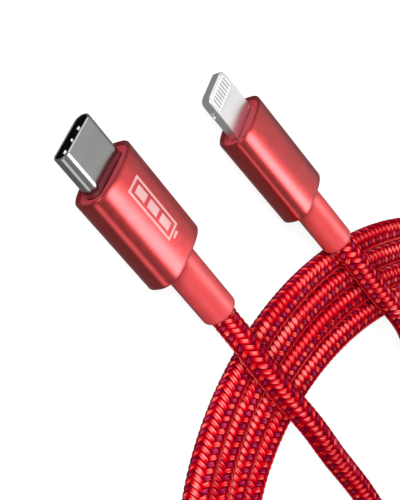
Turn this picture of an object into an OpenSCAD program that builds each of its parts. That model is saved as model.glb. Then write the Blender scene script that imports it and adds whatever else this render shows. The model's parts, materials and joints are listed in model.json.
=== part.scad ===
// Braided charging cable: a flat reversible plug at one end, a thin tab plug at the other,
// and a round braided cord between them, lying in a flat oval coil of four turns.
// Millimetres, +Z up. The origin is the middle of the two plugs' footprint on the table.

/* [Cord] */
// Outer diameter of the braided cord
cord_d = 3.9; // [3.9:0.05:4]
// Distance between the centre lines of neighbouring turns
turn_pitch = 4; // [3.95:0.05:4.1]
// Half length of the outermost turn's centre line
coil_a = 69; // [69:0.5:70]
// Half width of the outermost turn's centre line
coil_b = 40; // [40:0.5:41]

/* [Reversible plug] */
// Width of the metal shell
shell_w = 8.25; // [8.2:0.05:8.3]
// Thickness of the metal shell
shell_t = 2.4; // [2.36:0.02:2.44]
// Length of shell in front of the sleeve
shell_out = 6.4; // [6.2:0.1:6.65]
// Width of the reversible plug's metal sleeve
usb_w = 11.4; // [11.2:0.1:12]
// Thickness of the reversible plug's metal sleeve
usb_t = 6; // [5.8:0.1:6.4]
// Length of the reversible plug's metal sleeve
usb_len = 16; // [15.8:0.1:16.4]

/* [Tab plug] */
// Width of the tab
tab_w = 6.7; // [6.6:0.05:6.8]
// Thickness of the tab
tab_t = 1.5; // [1.46:0.02:1.54]
// Length of tab in front of the sleeve
tab_out = 7.4; // [7.2:0.1:7.6]
// Width of the tab plug's metal sleeve
tab_sleeve_w = 10.4; // [10.2:0.1:11]
// Thickness of the tab plug's metal sleeve
tab_sleeve_t = 5.8; // [5.6:0.1:6.2]
// Length of the tab plug's metal sleeve
tab_sleeve_len = 17.5; // [17.3:0.1:18]

/* [Strain reliefs] */
// Outer diameter of both strain reliefs
relief_d = 5.3; // [5.2:0.1:5.6]
// Length of relief behind the reversible plug's sleeve
usb_relief = 11.5; // [10:0.5:12]
// Length of relief behind the tab plug's sleeve
tab_relief = 11; // [10:0.5:12]

/* [Hidden] */
$fn = 48;
gap = 0.05;
wall = 0.6;
rear_wall = 1;
flange = 0.9;
square_power = 2.8;
cord_r = cord_d / 2;
cord_sides = 8;
relief_r = relief_d / 2;
relief_bore_r = cord_r + 0.1;
ring_r = cord_r + 0.3;
ring_len = 1.6;
recess = 0.25;
collar_len = 1;
shell_wall = 0.3;
shell_in = 3.5;
board_t = 0.8;
wire_r = 0.38;
contact_t = 0.12;

// Where each plug's sleeve starts, and how it is turned and tipped
usb_at = [-20, -14, 3];
usb_turn = [0, -2.5, 0];
tab_at = [-2.2, 14.2, 2.89];
tab_turn = [0, -4.5, 2];

// Where each cord end starts inside its plug, along the plug's own axis
usb_cord_x = 12;
tab_cord_x = 13.5;

// Centre and turn of the oval coil, and the angles where the first turn starts and the last ends
coil_at = [71.1, 4.1];
coil_turn = 51;
coil_start = -75;
coil_end = -105;
turns = 4;
shift_half = 60;
coil_step = 5;
coil_shoulder = 3;
coil_bevel = 0.55;

// Centre line from the reversible plug to the start of the coil
usb_route = [
    [-8, -14, 3.5], [0, -14, 3.9], [7.5, -14, 4.2], [10.5, -14.4, 4.6], [13.5, -15.1, 5.4],
    [16.5, -15.7, 5.9], [20, -15.8, 6], [25, -15.7, 5.95], [30, -15.4, 5.95], [36, -14.9, 5.5],
    [43, -14.1, 4.4], [50, -13.2, 3.5], [57, -12.5, 2.7], [64, -12.4, 2.1], [71, -12.6, 1.95],
    [78, -12.1, 1.95], [84, -10.3, 1.95], [89.5, -7.4, 1.95], [94, -4.1, 1.95], [97, -0.9, 1.95]
];

// Centre line from the tab plug, over the turns and down to the end of the coil
tab_route = [
    [11.3, 14.7, 3.95], [18.7, 14.9, 4.5], [26.2, 15.2, 5.25], [29.7, 15.2, 5.9], [34, 15.5, 6],
    [39, 16, 5.95], [44, 16.7, 5.95], [49, 17.5, 5.85], [55.5, 18.7, 4.6], [62, 19.6, 3.1],
    [68.5, 20, 2.1], [75, 19.9, 2], [81, 19.1, 2.6], [87, 17.7, 3.9], [93, 15.1, 5.4],
    [97.5, 11.7, 5.95], [101.3, 7.2, 5.95], [104.2, 1.8, 5.95], [105.7, -4, 5.95],
    [106.1, -9.8, 5.95], [105.2, -14.3, 5.8], [103.1, -18.9, 4.9], [100.1, -23.6, 3.6],
    [95.6, -28.9, 2.2], [90.6, -33.6, 1.95]
];

// ---------- shared shapes ----------

// Puts a piece that is drawn along +X, with Y across and Z up, where its plug lies
module in_usb() {
    translate(usb_at) rotate(usb_turn) children();
}

module in_tab() {
    translate(tab_at) rotate(tab_turn) children();
}

// Extrudes a Y-Z outline along X from x0 to x1
module along_x(x0, x1) {
    translate([x0, 0, 0]) rotate([90, 0, 90]) linear_extrude(x1 - x0) children();
}

// Flat oval with nearly straight sides, as a superellipse
module soft_oval(w, t) {
    polygon([for (a = [0:6:354]) [
        w / 2 * sign(cos(a)) * pow(abs(cos(a)), 2 / square_power),
        t / 2 * sign(sin(a)) * pow(abs(sin(a)), 2 / square_power)
    ]]);
}

// Flat bar with half-round ends
module obround(w, t) {
    square([w - t, t], center = true);
    for (side = [-1, 1]) translate([side * (w - t) / 2, 0]) circle(d = t);
}

// Box from low corner to high corner
module box(low, high) {
    translate(low) cube(high - low);
}

// Metal sleeve: a soft oval tube with a rear wall that the strain relief passes through
module sleeve(w, t, len) {
    difference() {
        along_x(0, len) soft_oval(w, t);
        along_x(-1, len - rear_wall) soft_oval(w - 2 * wall, t - 2 * wall);
        along_x(0, len + 1) circle(r = relief_r + gap);
    }
}

// Strain relief: a flange held inside the sleeve and a round tail with a through bore
module relief(w, t, sleeve_len, tail) {
    flange_x = sleeve_len - rear_wall - flange;
    difference() {
        union() {
            along_x(flange_x, sleeve_len - rear_wall - gap)
                soft_oval(w - 2 * wall - 4 * gap, t - 2 * wall - 4 * gap);
            along_x(flange_x + flange / 2, sleeve_len + tail) circle(r = relief_r);
        }
        along_x(flange_x - 1, sleeve_len + tail + 1) circle(r = relief_bore_r);
    }
}

// Crimp ring that grips the jacket just behind the cord's front end
module crimp_ring(x) {
    difference() {
        along_x(x, x + ring_len) circle(r = ring_r);
        along_x(x - 1, x + ring_len + 1) circle(r = cord_r + gap);
    }
}

// Lead wire from the board to the cord's front end
module lead_wire(x0, x1, y) {
    along_x(x0, x1) translate([y, board_t / 2 + wire_r]) circle(r = wire_r, $fn = 24);
}

// ---------- reversible plug ----------

module usb_c_shell() {
    color("silver") in_usb() difference() {
        along_x(-shell_out, shell_in) obround(shell_w, shell_t);
        along_x(-shell_out - 1, shell_in + 1)
            obround(shell_w - 2 * shell_wall, shell_t - 2 * shell_wall);
    }
}

usb_contacts = 12;
usb_contact_pitch = 0.5;
usb_contact_w = 0.26;
slot_w = 6.8;
slot_t = 0.8;
insulator_front = -shell_out + 0.4;
insulator_rear = 3.3;
slot_end = -0.9;

module usb_contact_row(side, grow) {
    for (i = [0:usb_contacts - 1]) {
        y = (i - (usb_contacts - 1) / 2) * usb_contact_pitch;
        z = side * (slot_t / 2 + contact_t / 2);
        translate([0, y, z])
            box([-5 - grow, -usb_contact_w / 2 - grow, -contact_t / 2 - grow],
                [5, usb_contact_w / 2 + grow, contact_t / 2 + grow]);
    }
}

module latch_bars(grow) {
    for (side = [-1, 1]) translate([0, side * (slot_w / 2 + 0.1), 0])
        box([-4.6 - grow, -0.08 - grow, -0.25 - grow], [2.6 + grow, 0.08 + grow, 0.25 + grow]);
}

module ground_plates(grow) {
    for (side = [-1, 1]) translate([0, 0, side * (slot_t / 2 + contact_t / 2)])
        box([-5.9 - grow, -2.7 - grow, -contact_t / 2 - grow],
            [-5.3 + grow, 2.7 + grow, contact_t / 2 + grow]);
}

module usb_c_insulator() {
    color("#151515") in_usb() difference() {
        along_x(insulator_front, insulator_rear)
            obround(shell_w - 2 * shell_wall - gap, shell_t - 2 * shell_wall - gap);
        box([insulator_front - 1, -slot_w / 2, -slot_t / 2], [slot_end, slot_w / 2, slot_t / 2]);
        for (side = [-1, 1]) usb_contact_row(side, 0.02);
        latch_bars(0.03);
        ground_plates(0.02);
    }
}

module usb_c_upper_contacts() {
    color("gold") in_usb() usb_contact_row(1, 0);
}

module usb_c_lower_contacts() {
    color("gold") in_usb() usb_contact_row(-1, 0);
}

module usb_c_latch_springs() {
    color("silver") in_usb() latch_bars(0);
}

// Two plates just inside the mouth, each with three fingers that touch the socket's shield
module usb_c_ground_springs() {
    color("silver") in_usb() {
        ground_plates(0);
        for (side = [-1, 1], y = [-2.1, 0, 2.1]) translate([0, y, side * (slot_t / 2 - 0.04)])
            box([-5.8, -0.35, -0.06], [-5.4, 0.35, 0.06]);
    }
}

usb_board_x = [3.4, 10.6];

module usb_c_circuit_board() {
    color("darkgreen") in_usb()
        box([usb_board_x[0], -3.7, -board_t / 2 + gap / 2], [usb_board_x[1], 3.7, board_t / 2 - gap / 2]);
}

module usb_c_chip() {
    color("#202020") in_usb() box([5.8, -1.1, board_t / 2], [8, 1.1, board_t / 2 + 0.8]);
}

module usb_c_inner_mould() {
    color("#e8e4dc") in_usb() difference() {
        along_x(recess + collar_len, 11) soft_oval(usb_w - 2 * wall - 2 * gap, usb_t - 2 * wall - 2 * gap);
        along_x(0, 12) obround(shell_w + 2 * gap, shell_t + 2 * gap);
        box([shell_in + gap, -3.9, -1.6], [12, 3.9, 1.6]);
    }
}

module usb_c_front_collar() {
    color("#8c0c18") in_usb() difference() {
        along_x(recess, recess + collar_len - gap)
            soft_oval(usb_w - 2 * wall - 2 * gap, usb_t - 2 * wall - 2 * gap);
        along_x(0, 2) obround(shell_w + 2 * gap, shell_t + 2 * gap);
    }
}

// Generic battery sign let into the sleeve's wide face: an outline, a cap and three bars
mark_x = [2.6, 11.8];
mark_half_w = 1.5;
mark_line = 0.35;
mark_z = usb_t / 2 - 0.16;
mark_top = usb_t / 2 - 0.03;

module battery_sign(low, high, grow) {
    difference() {
        box([mark_x[0] - grow, -mark_half_w - grow, low], [mark_x[1] + grow, mark_half_w + grow, high]);
        box([mark_x[0] + mark_line + grow, -mark_half_w + mark_line + grow, low - 1],
            [mark_x[1] - mark_line - grow, mark_half_w - mark_line - grow, high + 1]);
    }
    box([mark_x[1] + 0.25 - grow, -0.6 - grow, low], [mark_x[1] + 0.65 + grow, 0.6 + grow, high]);
    for (i = [0:2]) {
        x = mark_x[0] + 0.95 + i * 2.65;
        box([x - grow, -0.7 - grow, low], [x + 2 + grow, 0.7 + grow, high]);
    }
}

module usb_c_sleeve() {
    color("#c8102e") in_usb() difference() {
        sleeve(usb_w, usb_t, usb_len);
        battery_sign(mark_z - 0.02, usb_t, 0.02);
    }
}

module usb_c_battery_mark() {
    color("#f5b8bc") in_usb() battery_sign(mark_z, mark_top, 0);
}

module usb_c_crimp_ring() {
    color("silver") in_usb() crimp_ring(usb_cord_x + 0.3);
}

module usb_c_strain_relief() {
    color("#e23a46") in_usb() relief(usb_w, usb_t, usb_len, usb_relief);
}

module usb_c_power_wire() {
    color("red") in_usb() lead_wire(9, usb_cord_x - gap, 1.2);
}

module usb_c_ground_wire() {
    color("#222222") in_usb() lead_wire(9, usb_cord_x - gap, -1.2);
}

module usb_c_data_wires() {
    color("white") in_usb() for (y = [-0.41, 0.41]) lead_wire(9, usb_cord_x - gap, y);
}

// ---------- tab plug ----------

tab_corner_r = 1;
tab_rear = 2.4;
window_x = [-7.05, -4.4];
window_w = 5.8;
window_r = 0.6;
notch_x = -4.6;
notch_r = 0.95;
notch_depth = 0.25;
notch_half = 0.45;
tab_contacts = 8;
tab_contact_pitch = 0.65;
tab_contact_w = 0.25;
tab_contact_x = [-6.6, -4.85];

// Tab seen from above: round front corners
module tab_outline() {
    for (side = [-1, 1]) translate([-tab_out + tab_corner_r, side * (tab_w / 2 - tab_corner_r)])
        circle(r = tab_corner_r);
    translate([-tab_out, -tab_w / 2 + tab_corner_r])
        square([tab_corner_r, tab_w - 2 * tab_corner_r]);
    translate([-tab_out + tab_corner_r, -tab_w / 2]) square([tab_out - tab_corner_r + tab_rear, tab_w]);
}

// Window for the contact carrier, with round corners
module window_block(inset, h) {
    r = window_r - inset;
    x = [window_x[0] + window_r, window_x[1] - window_r];
    y = window_w / 2 - window_r;
    translate([0, 0, -h / 2]) linear_extrude(h) {
        for (cx = x, side = [-1, 1]) translate([cx, side * y]) circle(r = r);
        translate([x[0] - r, -y]) square([x[1] - x[0] + 2 * r, 2 * y]);
        translate([x[0], -y - r]) square([x[1] - x[0], 2 * y + 2 * r]);
    }
}

module tab_frame() {
    color("silver") in_tab() difference() {
        translate([0, 0, -tab_t / 2]) linear_extrude(tab_t) tab_outline();
        window_block(0, 4);
        box([window_x[1] - 1, -2.55, -board_t / 2], [tab_rear + 1, 2.55, board_t / 2]);
        for (side = [-1, 1])
            translate([notch_x, side * (tab_w / 2 + notch_r - notch_depth), -notch_half])
                cylinder(r = notch_r, h = 2 * notch_half);
    }
}

module tab_contact_row(side, grow) {
    for (i = [0:tab_contacts - 1]) {
        y = (i - (tab_contacts - 1) / 2) * tab_contact_pitch;
        low = side > 0 ? tab_t / 2 - 0.2 - grow : -tab_t / 2 - grow;
        box([tab_contact_x[0] - grow, y - tab_contact_w / 2 - grow, low],
            [tab_contact_x[1] + grow, y + tab_contact_w / 2 + grow, low + 0.2 + 2 * grow]);
    }
}

module tab_contact_carrier() {
    color("white") in_tab() difference() {
        window_block(gap, tab_t);
        for (side = [-1, 1]) tab_contact_row(side, 0.02);
    }
}

module tab_upper_contacts() {
    color("silver") in_tab() tab_contact_row(1, 0);
}

module tab_lower_contacts() {
    color("silver") in_tab() tab_contact_row(-1, 0);
}

tab_board_x = [-4.3, 11.6];

module tab_circuit_board() {
    color("darkgreen") in_tab()
        box([tab_board_x[0], -2.5, -board_t / 2 + gap / 2], [tab_board_x[1], 2.5, board_t / 2 - gap / 2]);
}

module tab_chip() {
    color("#202020") in_tab() box([4, -1.2, board_t / 2], [6.6, 1.2, board_t / 2 + 0.7]);
}

module tab_capacitors() {
    color("#b89c74") in_tab() for (y = [-1.5, -0.5, 0.5, 1.5])
        box([7.6, y - 0.25, board_t / 2], [8.6, y + 0.25, board_t / 2 + 0.5]);
}

module tab_shield_can() {
    color("silver") in_tab() difference() {
        box([2.8, -3.4, -1.5], [9.4, 3.4, 1.5]);
        box([2, -3.25, -1.35], [10, 3.25, 1.35]);
    }
}

module tab_inner_mould() {
    color("#e8e4dc") in_tab() difference() {
        along_x(recess + collar_len, 12.4)
            soft_oval(tab_sleeve_w - 2 * wall - 2 * gap, tab_sleeve_t - 2 * wall - 2 * gap);
        box([0, -tab_w / 2 - gap, -tab_t / 2 - gap], [13, tab_w / 2 + gap, tab_t / 2 + gap]);
        box([tab_rear + gap, -3.45, -1.55], [13, 3.45, 1.55]);
    }
}

module tab_front_collar() {
    color("#8c0c18") in_tab() difference() {
        along_x(recess, recess + collar_len - gap)
            soft_oval(tab_sleeve_w - 2 * wall - 2 * gap, tab_sleeve_t - 2 * wall - 2 * gap);
        box([0, -tab_w / 2 - gap, -tab_t / 2 - gap], [2, tab_w / 2 + gap, tab_t / 2 + gap]);
    }
}

module tab_sleeve() {
    color("#c8102e") in_tab() sleeve(tab_sleeve_w, tab_sleeve_t, tab_sleeve_len);
}

module tab_crimp_ring() {
    color("silver") in_tab() crimp_ring(tab_cord_x + 0.3);
}

module tab_strain_relief() {
    color("#e23a46") in_tab() relief(tab_sleeve_w, tab_sleeve_t, tab_sleeve_len, tab_relief);
}

module tab_power_wire() {
    color("red") in_tab() lead_wire(10.2, tab_cord_x - gap, 1.2);
}

module tab_ground_wire() {
    color("#222222") in_tab() lead_wire(10.2, tab_cord_x - gap, -1.2);
}

module tab_data_wires() {
    color("white") in_tab() for (y = [-0.41, 0.41]) lead_wire(10.2, tab_cord_x - gap, y);
}

// ---------- cord ----------

function unit(v) = v / norm(v);

// Direction of the centre line at point i
function heading(p, i) = unit(p[min(i + 1, len(p) - 1)] - p[max(i - 1, 0)]);

// Points of the round section at point i, square to the heading
function section(p, i, r) = let (
    h = heading(p, i),
    across = unit(cross([0, 0, 1], h)),
    up = cross(h, across)
) [for (k = [0:cord_sides - 1]) let (a = 360 * k / cord_sides) p[i] + r * (cos(a) * across + sin(a) * up)];

// Closed tube along the points p
module swept_tube(p, r) {
    n = cord_sides;
    last = len(p) - 1;
    points = [for (i = [0:last]) each section(p, i, r)];
    sides = [for (i = [0:last - 1], k = [0:n - 1]) let (k2 = (k + 1) % n)
        [i * n + k, (i + 1) * n + k, (i + 1) * n + k2, i * n + k2]];
    front = [for (k = [0:n - 1]) k];
    back = [for (k = [n - 1:-1:0]) last * n + k];
    polyhedron(points, concat([front, back], sides));
}

// Point at angle t on the oval of turn number i, where turn 3 is the outermost
function oval_point(t, i) = let (
    a = coil_a - (turns - 1 - i) * turn_pitch,
    b = coil_b - (turns - 1 - i) * turn_pitch,
    x = a * cos(t),
    y = b * sin(t)
) coil_at + [x * cos(coil_turn) - y * sin(coil_turn), x * sin(coil_turn) + y * cos(coil_turn)];

function ease(u) = let (v = min(max(u, 0), 1)) v * v * (3 - 2 * v);

// How far the turns have stepped outward at angle t, from 0 to 1
function stepped(t) = ease((t + shift_half) / (2 * shift_half));

cord_coil_angles = [coil_end:coil_step:coil_end + 360 - coil_step];

// Outer edge: one pitch further in between the coil's end and the stepping side
function outer_turn(t) = t <= shift_half ? turns - 2 + stepped(t) : turns - 1;

// Inner edge: the first turn starts at coil_start
function inner_turn(t) = t < coil_start ? 0 : t <= shift_half ? -1 + stepped(t) : 0;

module cord_run_usb_c() {
    color("#b01030") swept_tube(usb_route, cord_r);
}

// Outline of the whole coil, with a square step where each straight run joins it
module coil_outline(edge) {
    difference() {
        polygon(concat(
            [oval_point(coil_end, turns - 1 + edge)],
            [for (t = cord_coil_angles) oval_point(t, outer_turn(t) + edge)]
        ));
        polygon([for (t = cord_coil_angles) each t == coil_start
            ? [oval_point(t, -edge), oval_point(t, -1 - edge)]
            : [oval_point(t, inner_turn(t) - edge)]]);
    }
}

// The coil's outer shape: full width up to the shoulder of the round cord, then a little narrower
module cord_coil() {
    color("#b01030") {
        linear_extrude(coil_shoulder) coil_outline(0.5);
        linear_extrude(cord_d) coil_outline(0.5 - coil_bevel / turn_pitch);
    }
}

module cord_run_tab() {
    color("#b01030") swept_tube(tab_route, cord_r);
}

usb_c_shell();
usb_c_insulator();
usb_c_upper_contacts();
usb_c_lower_contacts();
usb_c_latch_springs();
usb_c_ground_springs();
usb_c_circuit_board();
usb_c_chip();
usb_c_inner_mould();
usb_c_front_collar();
usb_c_sleeve();
usb_c_battery_mark();
usb_c_crimp_ring();
usb_c_strain_relief();
usb_c_power_wire();
usb_c_ground_wire();
usb_c_data_wires();
tab_frame();
tab_contact_carrier();
tab_upper_contacts();
tab_lower_contacts();
tab_circuit_board();
tab_chip();
tab_capacitors();
tab_shield_can();
tab_inner_mould();
tab_front_collar();
tab_sleeve();
tab_crimp_ring();
tab_strain_relief();
tab_power_wire();
tab_ground_wire();
tab_data_wires();
cord_run_usb_c();
cord_coil();
cord_run_tab();
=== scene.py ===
"""Braided charging cable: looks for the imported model. Metres, in the CAD's own frame."""
import json
import math

import bmesh
import bpy
import numpy as np
from mathutils import Matrix, Vector
from mathutils.geometry import tessellate_polygon


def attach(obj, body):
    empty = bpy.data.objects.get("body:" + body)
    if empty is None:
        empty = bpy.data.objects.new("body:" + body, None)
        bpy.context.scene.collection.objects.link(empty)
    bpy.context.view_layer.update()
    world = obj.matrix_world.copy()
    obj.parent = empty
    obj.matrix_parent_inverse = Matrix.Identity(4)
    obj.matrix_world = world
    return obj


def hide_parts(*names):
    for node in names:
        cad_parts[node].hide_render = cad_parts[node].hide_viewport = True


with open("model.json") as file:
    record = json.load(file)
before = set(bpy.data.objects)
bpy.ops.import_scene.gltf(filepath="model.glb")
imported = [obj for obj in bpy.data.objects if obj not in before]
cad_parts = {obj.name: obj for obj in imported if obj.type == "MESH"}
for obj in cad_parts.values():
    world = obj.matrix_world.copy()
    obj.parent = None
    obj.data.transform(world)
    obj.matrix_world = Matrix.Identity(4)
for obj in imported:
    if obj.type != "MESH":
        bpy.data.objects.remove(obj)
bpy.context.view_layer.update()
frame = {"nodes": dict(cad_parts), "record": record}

MM = 0.001
scene = bpy.context.scene

# ---------------------------------------------------------------- camera

VIEW_AZIMUTH = 225.48
VIEW_ELEVATION = 35.70
VIEW_ROLL = 82.46
VIEW_TARGET = (0.00359, -0.00568, 0.0)
VIEW_DISTANCE = 0.15538
LENS = 79.2


def make_camera():
    """A camera on the tips' side of the plugs, turned so that the cord runs down the frame."""
    azimuth = math.radians(VIEW_AZIMUTH)
    elevation = math.radians(VIEW_ELEVATION)
    roll = math.radians(VIEW_ROLL)
    away = Vector((
        math.cos(elevation) * math.cos(azimuth),
        math.cos(elevation) * math.sin(azimuth),
        math.sin(elevation),
    ))
    level_up = (Vector((0, 0, 1)) - away * away.z).normalized()
    level_right = (-away).cross(level_up)
    right = level_right * math.cos(roll) + level_up * math.sin(roll)
    up = level_up * math.cos(roll) - level_right * math.sin(roll)
    data = bpy.data.cameras.new("camera")
    data.lens = LENS
    data.clip_start = 0.005
    data.clip_end = 20
    camera = bpy.data.objects.new("camera", data)
    turn = Matrix((right, up, away)).transposed().to_4x4()
    camera.matrix_world = Matrix.Translation(Vector(VIEW_TARGET) + away * VIEW_DISTANCE) @ turn
    scene.collection.objects.link(camera)
    scene.camera = camera


make_camera()

# ---------------------------------------------------------------- mesh helpers


def new_object(name, mesh):
    piece = bpy.data.objects.new(name, mesh)
    scene.collection.objects.link(piece)
    return piece


def grid_mesh(name, rings, wrap_rings=False, caps=False, uv=None):
    """A mesh of closed rings joined by quads. rings is (count, points, 3). The rings join up at
    the ends with wrap_rings, or are closed by flat ends with caps. uv is (across, along): one value
    more than points across, one value for each ring along."""
    rings = np.asarray(rings, float)
    count, points = rings.shape[:2]
    spans = count if wrap_rings else count - 1
    r = np.repeat(np.arange(spans), points)
    k = np.tile(np.arange(points), spans)
    r2 = (r + 1) % count
    k2 = (k + 1) % points
    quads = np.stack([r * points + k, r * points + k2, r2 * points + k2, r2 * points + k], 1)
    loops = quads.ravel()
    starts = np.arange(len(quads)) * 4
    totals = np.full(len(quads), 4)
    if caps:
        front = np.arange(points)[::-1]
        back = (count - 1) * points + np.arange(points)
        starts = np.concatenate([starts, [len(loops), len(loops) + points]])
        totals = np.concatenate([totals, [points, points]])
        loops = np.concatenate([loops, front, back])
    mesh = bpy.data.meshes.new(name)
    mesh.vertices.add(count * points)
    mesh.vertices.foreach_set("co", rings.reshape(-1).astype(np.float32))
    mesh.loops.add(len(loops))
    mesh.loops.foreach_set("vertex_index", loops.astype(np.int32))
    mesh.polygons.add(len(starts))
    mesh.polygons.foreach_set("loop_start", starts.astype(np.int32))
    mesh.polygons.foreach_set("loop_total", totals.astype(np.int32))
    if uv is not None:
        across, along = uv
        u = np.stack([across[k], across[k + 1], across[k + 1], across[k]], 1)
        v = np.stack([along[r], along[r], along[r2], along[r2]], 1)
        coords = np.zeros((len(loops), 2), np.float32)
        coords[: len(quads) * 4, 0] = u.ravel()
        coords[: len(quads) * 4, 1] = v.ravel()
        layer = mesh.uv_layers.new(name="strand")
        layer.data.foreach_set("uv", coords.ravel())
    mesh.update(calc_edges=True)
    mesh.validate()
    mesh.shade_smooth()
    return mesh


def full_circle(count):
    """Even angles round a circle."""
    return np.linspace(0, 2 * math.pi, count, endpoint=False)


def finish_piece(piece, material, replaced=()):
    piece.data.materials.clear()
    piece.data.materials.append(material)
    if replaced:
        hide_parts(*replaced)
    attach(piece, "root")
    return piece


def sharpen(piece, degrees=35):
    """Keeps edges sharper than this angle crisp."""
    piece.data.set_sharp_from_angle(angle=math.radians(degrees))


# ---------------------------------------------------------------- materials


def nodes_of(name):
    material = bpy.data.materials.new(name)
    material.use_nodes = True
    tree = material.node_tree
    return material, tree, tree.nodes["Principled BSDF"]


SOCKET_NAMES = {
    "metallic": "Metallic",
    "roughness": "Roughness",
    "coat": "Coat Weight",
    "coat_roughness": "Coat Roughness",
    "specular": "Specular IOR Level",
    "subsurface": "Subsurface Weight",
    "subsurface_radius": "Subsurface Radius",
    "subsurface_scale": "Subsurface Scale",
}
NOISE_ROUGHNESS = 0.55


def set_sockets(shader, **values):
    for key, value in values.items():
        shader.inputs[SOCKET_NAMES[key]].default_value = value


def noise(tree, scale, detail, stretch=(1, 1, 1), source="Object"):
    coords = tree.nodes.new("ShaderNodeTexCoord")
    mapping = tree.nodes.new("ShaderNodeMapping")
    mapping.inputs["Scale"].default_value = stretch
    texture = tree.nodes.new("ShaderNodeTexNoise")
    texture.inputs["Scale"].default_value = scale
    texture.inputs["Detail"].default_value = detail
    texture.inputs["Roughness"].default_value = NOISE_ROUGHNESS
    tree.links.new(coords.outputs[source], mapping.inputs["Vector"])
    tree.links.new(mapping.outputs["Vector"], texture.inputs["Vector"])
    return texture.outputs["Fac"]


def ramp(tree, factor, stops):
    """A colour ramp. stops are (position, colour)."""
    node = tree.nodes.new("ShaderNodeValToRGB")
    elements = node.color_ramp.elements
    while len(elements) < len(stops):
        elements.new(0.5)
    for element, (position, colour) in zip(elements, stops):
        element.position = position
        element.color = (*colour, 1)
    tree.links.new(factor, node.inputs["Fac"])
    return node.outputs["Color"]


def spread(tree, factor, low, high):
    """Maps a 0 to 1 value to low to high."""
    node = tree.nodes.new("ShaderNodeMapRange")
    node.inputs["To Min"].default_value = low
    node.inputs["To Max"].default_value = high
    tree.links.new(factor, node.inputs["Value"])
    return node.outputs["Result"]


def bump(tree, shader, height, strength, distance):
    node = tree.nodes.new("ShaderNodeBump")
    node.inputs["Strength"].default_value = strength
    node.inputs["Distance"].default_value = distance
    tree.links.new(height, node.inputs["Height"])
    tree.links.new(node.outputs["Normal"], shader.inputs["Normal"])


# A material's clouds of colour are coarser than its grain by this share of its scale
CLOUD_SCALE = 0.08
CLOUD_EDGES = (0.35, 0.65)
GRAIN_BUMP = 0.6


def plain_material(name, dark, light, grain_scale, bump_mm, roughness, stretch=(1, 1, 1), **sockets):
    """Colour, roughness and grain that vary a little over the surface."""
    material, tree, shader = nodes_of(name)
    set_sockets(shader, **sockets)
    clouds = noise(tree, grain_scale * CLOUD_SCALE, 2.0)
    colour = ramp(tree, clouds, list(zip(CLOUD_EDGES, (dark, light))))
    tree.links.new(colour, shader.inputs["Base Color"])
    grain = noise(tree, grain_scale, 4.0, stretch)
    tree.links.new(spread(tree, grain, *roughness), shader.inputs["Roughness"])
    bump(tree, shader, grain, GRAIN_BUMP, bump_mm * MM)
    return material


def math_node(tree, operation, first, second=None):
    """Maths on a link and a fixed number, or on two links."""
    node = tree.nodes.new("ShaderNodeMath")
    node.operation = operation
    tree.links.new(first, node.inputs[0])
    if isinstance(second, (int, float)):
        node.inputs[1].default_value = second
    elif second is not None:
        tree.links.new(second, node.inputs[1])
    return node.outputs[0]


# How far each cause moves a yarn's tone, from its least to its most
# Painted light: the crest's tone paints a highlight on each crest and shade where the yarn dives under
CREST_SHADE_AND_HIGHLIGHT = (-0.50, 0.48)
# The filaments and knots vary the tone at random; where it climbs to the top stop it takes the painted
# highlight colour
FILAMENT_TONE = (-0.75, 1.30)
KNOT_TONE = (-0.50, 0.55)
# Painted shade in the grooves: this tone darkens both sides of each yarn
GROOVE_SHADE_TONE = (0.05, -0.8)
GROOVE_SHADE_POWER = 8
# Stretch of the noise across and along the yarn
FILAMENT_STRETCH = (3.4, 2.2, 1)
KNOT_STRETCH = (0.4, 1.0, 1)
# Tones at which the yarn takes its painted shade colour, its body's colour (from, to) and its painted
# highlight colour
TONE_STOPS = (0.10, 0.34, 0.62, 0.95)
YARN_ROUGHNESS = (0.3, 0.5)
FILAMENT_BUMP = 0.7
FILAMENT_DEPTH = 0.08 * MM


def yarn_material(name, painted_shade_colour, body, bright):
    """Polyester multifilament. U runs across the yarn and V counts the times it goes over, so the
    colour is painted shade where the yarn dives under its neighbours and a painted highlight on each crest."""
    material, tree, shader = nodes_of(name)
    set_sockets(shader, specular=0.0)
    coords = tree.nodes.new("ShaderNodeTexCoord")
    split = tree.nodes.new("ShaderNodeSeparateXYZ")
    tree.links.new(coords.outputs["UV"], split.inputs["Vector"])
    crest = math_node(tree, "SINE", math_node(tree, "MULTIPLY", split.outputs["Y"], 2 * math.pi))
    filaments = noise(tree, 1.0, 2.0, FILAMENT_STRETCH, source="UV")
    knots = noise(tree, 1.0, 1.0, KNOT_STRETCH, source="UV")
    # Painted shade: the yarn darkens towards both its sides, as shade in the grooves between yarns
    edge = math_node(tree, "POWER", math_node(tree, "ABSOLUTE", split.outputs["X"]), GROOVE_SHADE_POWER)
    # Painted light: the crest's tone lifts the top of each over towards the painted highlight and sinks the
    # dives into painted shade
    tone = spread(tree, crest, *CREST_SHADE_AND_HIGHLIGHT)
    for cause, reach in ((filaments, FILAMENT_TONE), (knots, KNOT_TONE), (edge, GROOVE_SHADE_TONE)):
        tone = math_node(tree, "ADD", tone, spread(tree, cause, *reach))
    colour = ramp(tree, tone, list(zip(TONE_STOPS, (painted_shade_colour, body, body, bright))))
    tree.links.new(colour, shader.inputs["Base Color"])
    tree.links.new(spread(tree, filaments, *YARN_ROUGHNESS), shader.inputs["Roughness"])
    bump(tree, shader, filaments, FILAMENT_BUMP, FILAMENT_DEPTH)
    return material


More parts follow.
